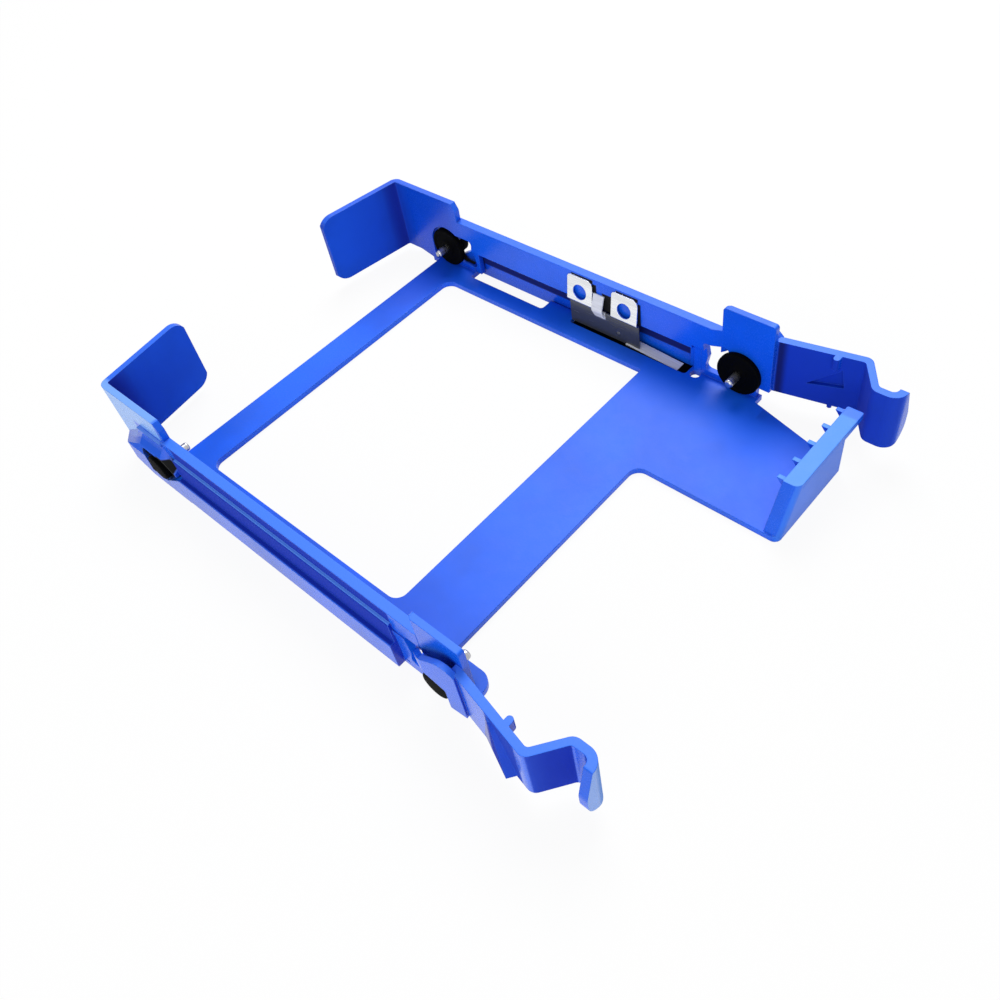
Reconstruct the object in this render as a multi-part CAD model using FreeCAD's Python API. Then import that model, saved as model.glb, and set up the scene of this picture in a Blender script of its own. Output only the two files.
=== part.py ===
import FreeCAD, Part
import math
import os

from FreeCAD import Vector

os.makedirs("parts", exist_ok=True)

# Millimetres. X runs along the rails with the latch arms at +X, Y across the tray, Z up.
# The features are set out from the middle of the four pins, on the underside of the tray; the
# finished pieces are then moved so that the origin is the centre of the whole underside.

# Drive that the caddy holds
DRIVE_WIDTH = 101.6
HOLE_PITCH = 101.6
HOLE_HEIGHT = 6.35

# Moulding
FLOOR = 1.6
WALL = 1.8
EDGE = 0.4

# Rails: upper wall between the isolators
SIDE_GAP = 1.1
RAIL_WALL = 2.4
RAIL_TOP = 18.6
RAIL_FOOT = 9.6
RAIL_SHORT_REAR = 4.8
RAIL_SHORT_FRONT = 5.4
RAIL_RAMP = 2.6
SHELF_TOP = 12.6

# Guide along the outside of each rail, hollow on the drive side, with a ledge above it
GUIDE_SHORT_REAR = 9.2
GUIDE_SHORT_FRONT = 13.8
GUIDE_REACH = 2.2
GUIDE_WALL = 1.4
GUIDE_TOP = 8.6
GUIDE_ROOF = 1.3
LEDGE_REACH = 0.9
LEDGE_TOP = 15.0

# Webs that carry the isolators, stepped out from the rails
WEB_STEP = 1.1
WEB_WALL = 1.6
WEB_INSIDE = 11.6
WEB_OUTSIDE = 6.4
SEAT_GAP = 0.7

# Keyholes
NECK_RADIUS = 2.6
NECK_GAP = 0.1
ENTRY_REACH = 10.6
ENTRY_RISE = 5.4
ENTRY_DROP = 4.6
ENTRY_POINT = 1.0
ENTRY_RADIUS = 1.2

# Isolators
FLANGE_RADIUS = 6.0
FLANGE_THICK = 1.6
FLANGE_EDGE = 0.3
BUTTON_RADIUS = 3.6
BUTTON_THICK = 2.5
BUTTON_COVER = 0.8
FACE_GAP = 0.05

# Pins
PIN_RADIUS = 1.15
PIN_ENGAGE = 3.6
PIN_TIP = 0.6

# Tray floor
FLANGE_WIDTH = 6.3
BAR_BEHIND = 5.4
BAR_DEPTH = 9.75
PLATE_BEHIND = 6.1
PLATE_DEPTH = 19.0
TAB_AHEAD = 5.6
TAB_WIDTH = 5.4
TAB_RADIUS = 3.5
WINDOW_RADIUS = 3.0

# Corner extension of the front plate
EXTENSION_AHEAD = 32.6
EXTENSION_WIDTH = 34.1
EXTENSION_TAPER = 7.6
EXTENSION_RADIUS = 2.5

# Slots and drain holes in the floor beside each rail
SLOT_INSET = 1.5
SLOT_REAR_LENGTH = 28.5
SLOT_FRONT_LENGTH = 39.0
SLOT_END = 0.9
SLOT_RADIUS = 1.0
DRAIN_BEHIND = 12.5
DRAIN_RADIUS = 1.4

# Risers and ears at the rear
RISER_TOP = 24.2
RISER_FOOT = 2.5
RISER_BEHIND = 18.7
RISER_CHAMFER = (1.2, 2.2)
EAR_LENGTH = 26.3
EAR_SPLAY = 4.2
EAR_BEND = 0.6
EAR_RADIUS = 4.5

# Noses over the rear isolators, tapered on all sides
NOSE_TAIL = 9.1
NOSE_TOP = 18.4
NOSE_SINK = 4.1
NOSE_SHORT = 4.0
NOSE_CREST = (-4.2, 4.8)
NOSE_RISE = 2.3
NOSE_CUT = 8.2
NOSE_SILL = 2.8
NOSE_RIM = 1.1

# Blocks at the front
BLOCK_BEHIND = 5.8
BLOCK_AHEAD = 8.4
BLOCK_TOP = 25.6
BLOCK_FOOT = 5.0
BLOCK_CUT = 4.7
BLOCK_TAPER = 1.2

# Skirts outside the blocks, a ramp and a plate that arches over the isolator
SKIRT_BEHIND = 7.2
SKIRT_RAMP = 6.1
SKIRT_AHEAD = 8.4
SKIRT_REACH = (0.7, 3.3, 2.6)
SKIRT_WALL = 1.3
SKIRT_START = (9.5, 12.2)
SKIRT_REAR = (14.1, 18.9)
SKIRT_CREST = (5.4, 22.5)
SKIRT_FRONT = (4.4, 20.2)
SKIRT_STEP = (4.2, 11.3)
SKIRT_FOOT = 4.6
DECK_BEHIND = 3.6
DECK_AHEAD = 5.6

# Latch arms, lengths from the front of the block and reaches from the outside of the web
ARM_WALL = 2.0
ARM_TOP = 20.5
ARM_FOOT = 4.6
ARM_OVERLAP = 1.8
ARM_KNEE = (19.7, 4.35)
ARM_DIP = (25.0, -2.85)
ARM_TIP = (31.8, -2.85)
KNEE_OUTER = (20.4, 6.4)
DIP_OUTER = (25.7, -1.0)
TIP_OUTER = (29.75, -1.0)
GRIP_REACH = 3.2
GRIP_SHOULDER = 0.9
GRIP_RADIUS = 5.0

# Catches on the latch arms, lengths from the front of the block
CATCH_TOP = 18.9
CATCH_FOOT = 5.8
CATCH_SINK = 0.8
CATCH_HIGH = ((6.4, 0.0), (10.2, 0.4), (11.7, 0.0))
CATCH_LOW = ((2.3, 0.0), (15.0, 2.2), (16.9, 0.0))
HOLLOW = ((7.4, 9.8), (16.1, 11.0), (15.2, 16.3))
HOLLOW_DEPTH = 1.2
NUB_AHEAD = 13.8
NUB_RADIUS = 0.8
NUB_REACH = 0.9
NUB_LENGTH = 3.2
STUB_AHEAD = 13.2
STUB_RADIUS = 0.6
STUB_LENGTH = 1.3

# Upright wall at the end of the extension
END_TOP = 15.5
END_LEAN = 1.1
END_LIP = 4.0
END_RETURN = 4.0
END_SLANT = 4.6
END_RADIUS = 1.8
END_BACK = 2.7
LIP_LENGTH = 27.0
TOOTH_COUNT = 5
TOOTH_PITCH = 6.1
TOOTH_THICK = 1.1
TOOTH_REACH = 1.8
TOOTH_DROP = 6.0

# Spring clip
CLIP_SHEET = 0.4
CLIP_CENTRE = 9.0
CLIP_WIDTH = 23.4
CLIP_EAR = 8.5
CLIP_FOOT = 1.7
CLIP_WAIST = 10.2
CLIP_TOP = 17.8
CLIP_BULGE = 1.0
CLIP_HOLE_RADIUS = 2.25
CLIP_HOLE_Z = 13.3
CLIP_CORNER = 2.0
TONGUE_WIDTH = 3.5
TONGUE_OFFSET = -1.3
TONGUE_FOOT = 7.0
TONGUE_TOP = 14.5
LEG_LENGTH = 16.8
LEG_WIDTH = 3.2
LEG_DROP = 1.1
LEG_OFFSET = 0.6

# Faces and edges that follow from the sizes above
PIN_X = HOLE_PITCH / 2
PIN_Z = FLOOR + HOLE_HEIGHT
RAIL_IN = DRIVE_WIDTH / 2 + SIDE_GAP
RAIL_OUT = RAIL_IN + RAIL_WALL
LEDGE_OUT = RAIL_OUT + LEDGE_REACH
RAIL_REAR = -PIN_X + RAIL_SHORT_REAR
RAIL_FRONT = PIN_X - RAIL_SHORT_FRONT
GUIDE_REAR = -PIN_X + GUIDE_SHORT_REAR
GUIDE_FRONT = PIN_X - GUIDE_SHORT_FRONT
GUIDE_OUT = RAIL_OUT + GUIDE_REACH
GUIDE_IN = GUIDE_OUT - GUIDE_WALL
WEB_IN = RAIL_IN + WEB_STEP
WEB_OUT = WEB_IN + WEB_WALL
WEB_REAR = PIN_X - WEB_INSIDE
SEAT_RADIUS = FLANGE_RADIUS + SEAT_GAP
BLOCK_REAR = PIN_X - BLOCK_BEHIND
BLOCK_FRONT = PIN_X + BLOCK_AHEAD
RISER_REAR = -PIN_X - RISER_BEHIND
BAR_REAR = -PIN_X - BAR_BEHIND
PLATE_FRONT = PIN_X - PLATE_BEHIND
TAB_FRONT = PIN_X + TAB_AHEAD
EXTENSION_FRONT = PIN_X + EXTENSION_AHEAD
EXTENSION_SIDE = RAIL_IN - EXTENSION_WIDTH
BUTTON_FACE = WEB_OUT + FACE_GAP + BUTTON_THICK


def point(plane, a, b, height):
    """Point a, b of a plane, raised along the normal of that plane."""
    if plane == "XY":
        return Vector(a, b, height)
    if plane == "XZ":
        return Vector(a, height, b)
    return Vector(height, a, b)


def outline(plane, corners, height):
    """Closed wire through the corners; a third number on a corner is its radius."""
    flat = [Vector(corner[0], corner[1], 0) for corner in corners]
    bends = []
    for i, corner in enumerate(corners):
        here = flat[i]
        if len(corner) > 2 and corner[2] > 0:
            back = (flat[i - 1] - here).normalize()
            ahead = (flat[(i + 1) % len(flat)] - here).normalize()
            half = back.getAngle(ahead) / 2
            reach = corner[2] / math.tan(half)
            rise = corner[2] / math.sin(half) - corner[2]
            crown = (back + ahead).normalize() * rise
            bends.append([here + back * reach, here + crown, here + ahead * reach])
        else:
            bends.append([here])
    edges = []
    for i, bend in enumerate(bends):
        spots = [point(plane, spot.x, spot.y, height) for spot in bend]
        start = bends[(i + 1) % len(bends)][0]
        start = point(plane, start.x, start.y, height)
        if len(spots) == 3:
            edges.append(Part.Arc(spots[0], spots[1], spots[2]).toShape())
        if spots[-1].distanceToPoint(start) > 1e-6:
            edges.append(Part.makeLine(spots[-1], start))
    return Part.Wire(edges)


def plate(plane, corners, low, high):
    """Outline in a plane, given thickness from low to high along its normal."""
    rise = point(plane, 0, 0, high - low)
    return Part.Face(outline(plane, corners, low)).extrude(rise)


def blend(plane, first, second, low, high):
    """Solid between one outline at low and another at high."""
    wires = [outline(plane, first, low), outline(plane, second, high)]
    return Part.makeLoft(wires, True, True)


def strip(path, thickness):
    """Corners of an even band: the path and its offset, to the left where thickness is positive."""
    spots = [Vector(step[0], step[1], 0) for step in path]
    runs = [(b - a).normalize() for a, b in zip(spots, spots[1:])]
    sides = [Vector(-run.y, run.x, 0) for run in runs]
    far = []
    for i, spot in enumerate(spots):
        first = sides[max(i - 1, 0)]
        second = sides[min(i, len(sides) - 1)]
        mitre = (first + second) * (thickness / (1 + first.dot(second)))
        corner = (spot.x + mitre.x, spot.y + mitre.y)
        if len(path[i]) > 2:
            turn = runs[i - 1].cross(runs[i]).z
            inward = math.copysign(abs(thickness), turn * thickness)
            corner += (max(path[i][2] - inward, 0),)
        far.append(corner)
    return list(path) + far[::-1]


def box(x, y, z):
    """Block between the given pairs of limits."""
    size = [limits[1] - limits[0] for limits in (x, y, z)]
    return Part.makeBox(size[0], size[1], size[2], Vector(x[0], y[0], z[0]))


def rod(radius, x, y, z):
    """Cylinder along Y between the pair of limits y."""
    return Part.makeCylinder(radius, y[1] - y[0], Vector(x, y[0], z), Vector(0, 1, 0))


def fuse(shapes):
    """One solid of the shapes, without seams between flush faces."""
    return shapes[0].multiFuse(shapes[1:]).removeSplitter()


def spun(corners):
    """Turned solid: outline of radius against Y, spun about the axis of the front pin."""
    turned = Part.Face(outline("XY", corners, 0)).revolve(Vector(0, 0, 0), Vector(0, 1, 0), 360)
    turned.translate(Vector(PIN_X, 0, PIN_Z))
    return turned


def rail():
    """Upper wall of the rail, the shelf under it and the hollow guide below, capped in front."""
    shelf_foot = SHELF_TOP - WALL
    plan = [
        (RAIL_REAR, RAIL_IN),
        (RAIL_FRONT - RAIL_RAMP, RAIL_IN),
        (RAIL_FRONT, WEB_IN),
        (RAIL_FRONT, RAIL_OUT),
        (RAIL_REAR, RAIL_OUT),
    ]
    shelf = [
        (RAIL_REAR, RAIL_IN),
        (RAIL_FRONT - RAIL_RAMP, RAIL_IN),
        (RAIL_FRONT, WEB_IN),
        (RAIL_FRONT, WEB_OUT),
        (RAIL_REAR, WEB_OUT),
    ]
    section = [
        (GUIDE_IN, 0),
        (GUIDE_OUT, 0, EDGE),
        (GUIDE_OUT, GUIDE_TOP, EDGE),
        (LEDGE_OUT, GUIDE_TOP),
        (LEDGE_OUT, LEDGE_TOP, EDGE),
        (RAIL_OUT, LEDGE_TOP),
        (RAIL_OUT, RAIL_TOP),
        (RAIL_IN, RAIL_TOP),
        (RAIL_IN, RAIL_FOOT, EDGE),
        (LEDGE_OUT - WALL, RAIL_FOOT),
        (GUIDE_IN, GUIDE_TOP - GUIDE_ROOF),
    ]
    cap = [
        (WEB_OUT - EDGE, 0),
        (GUIDE_OUT, 0, EDGE),
        (GUIDE_OUT, GUIDE_TOP, EDGE),
        (WEB_OUT - EDGE, GUIDE_TOP),
    ]
    return [
        plate("XY", plan, shelf_foot, RAIL_TOP),
        plate("XY", shelf, shelf_foot, SHELF_TOP),
        plate("YZ", section, GUIDE_REAR, GUIDE_FRONT),
        plate("YZ", cap, GUIDE_FRONT - WALL, GUIDE_FRONT),
    ]


def rear_web():
    """Web behind the rear isolator, up to the top of the nose."""
    x = (-PIN_X - WEB_OUTSIDE, -WEB_REAR)
    low = box(x, (WEB_IN, WEB_OUT), (0, SHELF_TOP))
    high = box((x[0], RAIL_REAR), (WEB_IN, WEB_OUT), (0, NOSE_TOP - NOSE_RIM))
    return [low, high]


def front_web():
    """Web behind the front isolator, rising into the block."""
    cut = PIN_X + BLOCK_CUT
    side = [
        (WEB_REAR, 0),
        (cut, 0),
        (cut, BLOCK_FOOT, EDGE),
        (BLOCK_FRONT, BLOCK_FOOT, EDGE),
        (BLOCK_FRONT, BLOCK_TOP, 2 * EDGE),
        (BLOCK_REAR, BLOCK_TOP, 2 * EDGE),
        (BLOCK_REAR, SHELF_TOP),
        (WEB_REAR, SHELF_TOP),
    ]
    corner = [
        (BLOCK_REAR, WEB_IN + 2 * EDGE),
        (BLOCK_REAR + BLOCK_TAPER, WEB_OUT),
        (BLOCK_REAR, WEB_OUT),
    ]
    return plate("XZ", side, WEB_IN, WEB_OUT).cut(plate("XY", corner, SHELF_TOP, BLOCK_TOP))


def riser():
    """Rear riser with the ear turned in at its end, its free corners rounded."""
    front = RAIL_REAR + RISER_CHAMFER[0]
    ear = (RISER_REAR - EAR_SPLAY, RAIL_IN - EAR_LENGTH)
    plan = [(front, RAIL_IN), (RISER_REAR, RAIL_IN, EAR_BEND), ear]
    band = plate("XY", strip(plan, -WALL), 0, RISER_TOP)
    side = [
        (ear[0] - 2 * WALL, RISER_FOOT),
        (-PIN_X - NOSE_CUT, RISER_FOOT),
        (-PIN_X - NOSE_CUT, 0),
        (front, 0),
        (front, RISER_TOP - RISER_CHAMFER[1]),
        (front - RISER_CHAMFER[0], RISER_TOP),
        (ear[0] - 2 * WALL, RISER_TOP),
    ]
    end = [
        (ear[1] - WALL / 4, RISER_FOOT, EAR_RADIUS),
        (RAIL_IN - EAR_RADIUS, RISER_FOOT),
        (RAIL_IN - EAR_RADIUS, 0),
        (RAIL_OUT, 0),
        (RAIL_OUT, RISER_TOP),
        (ear[1] - WALL / 4, RISER_TOP, EAR_RADIUS),
    ]
    side = plate("XZ", side, 0, RAIL_OUT)
    end = plate("YZ", end, ear[0] - 2 * WALL, front)
    return band.common([side]).common([end])


def nose():
    """Housing over the rear isolator: tapered lead-in, open below its roof."""
    tail = RISER_REAR
    end = GUIDE_REAR
    low = GUIDE_TOP + NOSE_RISE
    inner = [
        (tail, RISER_FOOT),
        (-PIN_X - NOSE_CUT, 0),
        (end, 0),
        (end, SHELF_TOP),
        (-PIN_X + NOSE_CREST[1], NOSE_TOP),
        (-PIN_X + NOSE_CREST[0], NOSE_TOP),
        (tail, NOSE_TAIL),
    ]
    outer = [
        (tail + NOSE_SHORT, RISER_FOOT),
        (-PIN_X - NOSE_CUT, 0),
        (end, 0),
        (end, low),
        (-PIN_X + NOSE_CREST[1], NOSE_TOP - NOSE_SINK),
        (-PIN_X + NOSE_CREST[0], NOSE_TOP - NOSE_SINK),
        (tail + NOSE_SHORT, NOSE_TAIL - EDGE),
    ]
    mouth = [
        (-PIN_X - SEAT_RADIUS, NOSE_SILL),
        (-PIN_X, NOSE_SILL),
        (end, GUIDE_TOP),
        (end, low - NOSE_RIM),
        (-PIN_X + NOSE_CREST[1], NOSE_TOP - NOSE_SINK - NOSE_RIM, 2.0),
        (-PIN_X + NOSE_CREST[0], NOSE_TOP - NOSE_SINK - NOSE_RIM, 3.0),
        (-PIN_X - SEAT_RADIUS, NOSE_TAIL),
    ]
    solid = blend("XZ", inner, outer, RAIL_IN + WALL / 2, GUIDE_OUT)
    return solid.cut(plate("XZ", mouth, WEB_OUT, GUIDE_OUT + WALL))


def arm_reach(ahead):
    """Inner and outer face of the straight part of the arm, ahead of the block by a length."""
    inner = ARM_KNEE[1] * ahead / ARM_KNEE[0]
    outer = ARM_WALL + (KNEE_OUTER[1] - ARM_WALL) * ahead / KNEE_OUTER[0]
    return WEB_OUT + inner, WEB_OUT + outer


def arm():
    """Latch arm: long flat spring, outward knee, hooked finger grip with a rounded tongue."""
    root = arm_reach(-ARM_OVERLAP)
    edges = [
        ARM_KNEE + (1.0,),
        ARM_DIP + (2.5,),
        ARM_TIP + (3.4,),
        (ARM_TIP[0], GRIP_REACH),
        (TIP_OUTER[0], GRIP_REACH),
        TIP_OUTER + (1.4,),
        DIP_OUTER + (1.2,),
        KNEE_OUTER + (2.2,),
    ]
    plan = [(BLOCK_FRONT + step[0], WEB_OUT + step[1]) + step[2:] for step in edges]
    plan.append((BLOCK_FRONT - ARM_OVERLAP, root[1]))
    plan.insert(0, (BLOCK_FRONT - ARM_OVERLAP, root[0]))
    band = plate("XY", plan, ARM_FOOT, ARM_TOP)
    end = WEB_OUT + GRIP_REACH
    grip = [
        (0, ARM_FOOT),
        (end, ARM_FOOT, GRIP_RADIUS),
        (end, (ARM_FOOT + ARM_TOP) / 2, GRIP_RADIUS),
        (WEB_OUT + GRIP_SHOULDER, ARM_TOP, EDGE),
        (0, ARM_TOP),
    ]
    hook = BLOCK_FRONT + DIP_OUTER[0]
    far = BLOCK_FRONT + ARM_TIP[0] + WALL
    straight = box((0, hook), (0, 2 * WEB_OUT), (0, ARM_TOP))
    return band.common([fuse([plate("YZ", grip, hook, far), straight])])


def catch_wedge():
    """Wedge on the outside of the latch arm, growing towards its foot."""
    shapes = []
    for corners in (CATCH_LOW, CATCH_HIGH):
        spots = [(BLOCK_FRONT + ahead, arm_reach(ahead)[1] + out) for ahead, out in corners]
        spots[0] = (spots[0][0], spots[0][1] - CATCH_SINK)
        spots[2] = (spots[2][0], spots[2][1] - CATCH_SINK)
        shapes.append(spots)
    return blend("XY", shapes[0], shapes[1], CATCH_FOOT, CATCH_TOP)


def catch_hollow():
    """Three-sided hollow in the inner face of the arm behind the catch."""
    base = []
    for ahead, z in HOLLOW:
        inner = arm_reach(ahead)[0]
        base.append(Vector(BLOCK_FRONT + ahead, inner - HOLLOW_DEPTH, z))
    face = Part.Face(Part.makePolygon(base + base[:1]))
    return face.extrude(Vector(0, 2 * HOLLOW_DEPTH, 0))


def arm_marks():
    """Stop nub on the inner face of the latch arm and the moulding stub below the arm."""
    inner, outer = arm_reach(NUB_AHEAD)
    x = BLOCK_FRONT + NUB_AHEAD
    tip = inner - NUB_REACH
    foot = ARM_TOP - NUB_LENGTH
    nub = Part.makeCylinder(NUB_RADIUS, NUB_LENGTH, Vector(x, tip, foot))
    bridge = box((x - NUB_RADIUS, x + NUB_RADIUS), (tip, inner + WALL / 2), (foot, ARM_TOP))
    middle = sum(arm_reach(STUB_AHEAD)) / 2
    start = Vector(BLOCK_FRONT + STUB_AHEAD, middle, ARM_FOOT - STUB_LENGTH)
    stub = Part.makeCylinder(STUB_RADIUS, STUB_LENGTH + WALL, start)
    return [nub, bridge, stub]


def skirt():
    """Skirt outside the front block: ramp, arched plate with a drop tab, and the deck that ties it in."""
    rear = PIN_X - SKIRT_BEHIND
    bend = rear + SKIRT_RAMP
    front = PIN_X + SKIRT_AHEAD
    step = PIN_X + SKIRT_STEP[0]
    plan = [
        (rear, WEB_OUT + SKIRT_REACH[0]),
        (bend, WEB_OUT + SKIRT_REACH[1], WALL),
        (front, WEB_OUT + SKIRT_REACH[2]),
    ]
    side = [
        (rear, SKIRT_START[0]),
        (bend, SKIRT_REAR[0]),
        (step, SKIRT_STEP[1], 2 * EDGE),
        (step, SKIRT_FOOT, EDGE),
        (front, SKIRT_FRONT[0]),
        (front, SKIRT_FRONT[1]),
        (PIN_X + SKIRT_CREST[0], SKIRT_CREST[1], 2 * WALL),
        (bend, SKIRT_REAR[1]),
        (rear, SKIRT_START[1]),
    ]
    band = plate("XY", strip(plan, -SKIRT_WALL), 0, BLOCK_TOP)
    deck = [PIN_X - DECK_BEHIND, PIN_X + DECK_AHEAD]
    across = (WEB_OUT - WALL / 2, WEB_OUT + SKIRT_REACH[2] - SKIRT_WALL / 2)
    foot = PIN_Z + BUTTON_RADIUS + SEAT_GAP
    return [band.common([plate("XZ", side, 0, 2 * WEB_OUT)]), box(deck, across, (foot, foot + WALL))]


def keyhole(end):
    """Opening in the web at one end: wide entry with a retaining point, then the seat."""
    across = (RAIL_IN - WALL, GUIDE_OUT + WALL)
    half = NECK_RADIUS + NECK_GAP
    entry = PIN_X - ENTRY_REACH
    stop = PIN_X - BUTTON_RADIUS
    corners = [
        (end * entry, PIN_Z - ENTRY_DROP, ENTRY_RADIUS),
        (end * (entry + ENTRY_POINT), PIN_Z),
        (end * entry, PIN_Z + ENTRY_RISE, ENTRY_RADIUS),
        (end * stop, PIN_Z + ENTRY_RISE, ENTRY_RADIUS),
        (end * stop, PIN_Z - ENTRY_DROP, ENTRY_RADIUS),
    ]
    slot = box(sorted((end * stop, end * PIN_X)), across, (PIN_Z - half, PIN_Z + half))
    return [plate("XZ", corners, across[0], WEB_OUT), slot, rod(half, end * PIN_X, across, PIN_Z)]


def seat_space(end):
    """Room for the inner flange of the isolator at one end, down to the floor."""
    across = (RAIL_IN - WALL, WEB_IN)
    x = end * PIN_X
    below = box((x - SEAT_RADIUS, x + SEAT_RADIUS), across, (FLOOR, PIN_Z))
    return [rod(SEAT_RADIUS, x, across, PIN_Z), below]


def side_frame():
    """Everything that stands up on one side of the tray."""
    pieces = rail() + rear_web() + [front_web(), riser(), nose()] + skirt()
    pieces += [arm(), catch_wedge()] + arm_marks()
    cuts = [catch_hollow()]
    for end in (-1, 1):
        cuts += keyhole(end) + seat_space(end)
    return fuse(pieces).cut(cuts)


def floor():
    """Tray floor: rear bar, side flanges, front plate and its corner extension."""
    tab = RAIL_IN - TAB_WIDTH
    far = RAIL_IN - EXTENSION_TAPER
    edge = [
        (BAR_REAR, -WEB_OUT),
        (TAB_FRONT, -WEB_OUT),
        (TAB_FRONT, -tab, TAB_RADIUS),
        (PLATE_FRONT, -tab, EDGE),
        (PLATE_FRONT, EXTENSION_SIDE, WINDOW_RADIUS),
        (EXTENSION_FRONT, EXTENSION_SIDE, EXTENSION_RADIUS),
        (EXTENSION_FRONT, far),
        (TAB_FRONT, RAIL_IN - EDGE),
        (TAB_FRONT, WEB_OUT),
        (BAR_REAR, WEB_OUT),
    ]
    inner = RAIL_IN - FLANGE_WIDTH
    window = [
        (BAR_REAR + BAR_DEPTH, -inner, WINDOW_RADIUS),
        (PLATE_FRONT - PLATE_DEPTH, -inner, WINDOW_RADIUS),
        (PLATE_FRONT - PLATE_DEPTH, inner, 2 * EDGE),
        (BAR_REAR + BAR_DEPTH, inner, WINDOW_RADIUS),
    ]
    return plate("XY", edge, 0, FLOOR).cut(plate("XY", window, 0, FLOOR))


def floor_cuts():
    """Slots and drain holes through the floor beside both rails."""
    stop = GUIDE_FRONT - SLOT_END
    spans = (
        (GUIDE_REAR, GUIDE_REAR + SLOT_REAR_LENGTH),
        (stop - SLOT_FRONT_LENGTH, stop),
    )
    cuts = []
    for side in (-1, 1):
        near = side * (RAIL_IN - SLOT_INSET)
        far = side * GUIDE_IN
        for first, last in spans:
            corners = [(first, near, SLOT_RADIUS), (last, near, SLOT_RADIUS), (last, far), (first, far)]
            cuts.append(plate("XY", corners, 0, FLOOR))
        drain = Vector(PIN_X - DRAIN_BEHIND, side * RAIL_IN, 0)
        cuts.append(Part.makeCylinder(DRAIN_RADIUS, FLOOR, drain))
    return cuts


def end_wall():
    """Upright wall on the extension, leaning out, with its inturned lip and the row of teeth."""
    far = RAIL_IN - EXTENSION_TAPER
    near = EXTENSION_SIDE + END_SLANT
    top = EXTENSION_FRONT + END_LEAN
    low = [
        (EXTENSION_FRONT - END_RETURN, EXTENSION_SIDE),
        (EXTENSION_FRONT, EXTENSION_SIDE, END_RADIUS),
        (EXTENSION_FRONT, far),
    ]
    high = [
        (top - END_RETURN, near),
        (top, near, END_RADIUS),
        (top, far - END_BACK),
    ]
    wall = blend("XY", strip(low, WALL), strip(high, WALL), 0, END_TOP)
    lip = [
        (top - END_LIP, near),
        (top, near, EXTENSION_RADIUS),
        (top, near + LIP_LENGTH, EDGE),
        (top - END_LIP, near + LIP_LENGTH, EDGE),
    ]
    pieces = [wall, plate("XY", lip, END_TOP - WALL, END_TOP)]
    tooth = [
        (EXTENSION_FRONT - WALL / 4, END_TOP - EDGE),
        (top - END_LIP - TOOTH_REACH, END_TOP - EDGE),
        (EXTENSION_FRONT - WALL / 4, END_TOP - TOOTH_DROP),
    ]
    for i in range(TOOTH_COUNT):
        y = near + TOOTH_THICK + i * TOOTH_PITCH
        pieces.append(plate("XZ", tooth, y - TOOTH_THICK / 2, y + TOOTH_THICK / 2))
    return pieces


def caddy_frame():
    """Whole blue moulding as one solid."""
    far = side_frame()
    near = far.mirror(Vector(0, 0, 0), Vector(0, 1, 0))
    whole = fuse([floor(), far, near] + end_wall())
    return whole.cut(floor_cuts()).removeSplitter()


def grommet():
    """Rubber isolator: inner flange, neck in the keyhole, outer button that closes over the pin."""
    inner = WEB_IN - FACE_GAP
    outer = WEB_OUT + FACE_GAP
    lip = FLANGE_RADIUS - FLANGE_EDGE
    return spun([
        (0, BUTTON_FACE - BUTTON_COVER),
        (PIN_RADIUS, BUTTON_FACE - BUTTON_COVER),
        (PIN_RADIUS, inner - FLANGE_THICK),
        (lip, inner - FLANGE_THICK),
        (FLANGE_RADIUS, inner - FLANGE_THICK + FLANGE_EDGE),
        (FLANGE_RADIUS, inner),
        (NECK_RADIUS, inner),
        (NECK_RADIUS, outer),
        (BUTTON_RADIUS, outer),
        (BUTTON_RADIUS, BUTTON_FACE),
        (0, BUTTON_FACE),
    ])


def pin():
    """Steel pin: chamfered tip in the drive, plain end inside the isolator."""
    tip = DRIVE_WIDTH / 2 - PIN_ENGAGE
    return spun([
        (0, tip),
        (PIN_RADIUS - PIN_TIP, tip),
        (PIN_RADIUS, tip + PIN_TIP),
        (PIN_RADIUS, BUTTON_FACE - BUTTON_COVER),
        (0, BUTTON_FACE - BUTTON_COVER),
    ])


def ground_clip():
    """Spring clip: plate, two eared contacts, a middle tongue and a leg along the slot."""
    back = RAIL_IN - FACE_GAP
    start = CLIP_CENTRE - CLIP_WIDTH / 2
    stop = CLIP_CENTRE + CLIP_WIDTH / 2
    plate_top = CLIP_WAIST - CLIP_BULGE
    pieces = [box((start, stop), (back - CLIP_SHEET, back), (CLIP_FOOT, plate_top))]
    contact = [(back, plate_top), (back - CLIP_BULGE, CLIP_WAIST, EDGE), (back, CLIP_TOP)]
    band = plate("YZ", strip(contact, CLIP_SHEET), start, stop)
    holes = []
    for left, right in ((start, start + CLIP_EAR), (stop - CLIP_EAR, stop)):
        ear = [
            (left, 0),
            (right, 0),
            (right, CLIP_TOP, CLIP_CORNER),
            (left, CLIP_TOP, CLIP_CORNER / 2),
        ]
        pieces.append(band.common([plate("XZ", ear, 0, RAIL_IN)]))
        middle = (left + right) / 2
        holes.append(rod(CLIP_HOLE_RADIUS, middle, (back - 3 * CLIP_BULGE, back + WALL), CLIP_HOLE_Z))
    spring = [
        (back, TONGUE_FOOT),
        (back - 1.5 * CLIP_BULGE, CLIP_WAIST, CLIP_CORNER),
        (back, TONGUE_TOP),
    ]
    middle = CLIP_CENTRE + TONGUE_OFFSET
    half = TONGUE_WIDTH / 2
    pieces.append(plate("YZ", strip(spring, CLIP_SHEET), middle - half, middle + half))
    leg = [(stop - CLIP_EAR / 2, CLIP_FOOT), (stop - CLIP_EAR / 2 + LEG_LENGTH, CLIP_FOOT - LEG_DROP)]
    middle = back + LEG_OFFSET
    half = LEG_WIDTH / 2
    pieces.append(plate("XZ", strip(leg, CLIP_SHEET), middle - half, middle + half))
    return fuse(pieces).cut(holes)


def save(name, shape):
    """Write one solid as a node of the part, moved to the centre of the underside."""
    shape.translate(HOME)
    shape.exportStep("parts/" + name + ".step")


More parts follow.
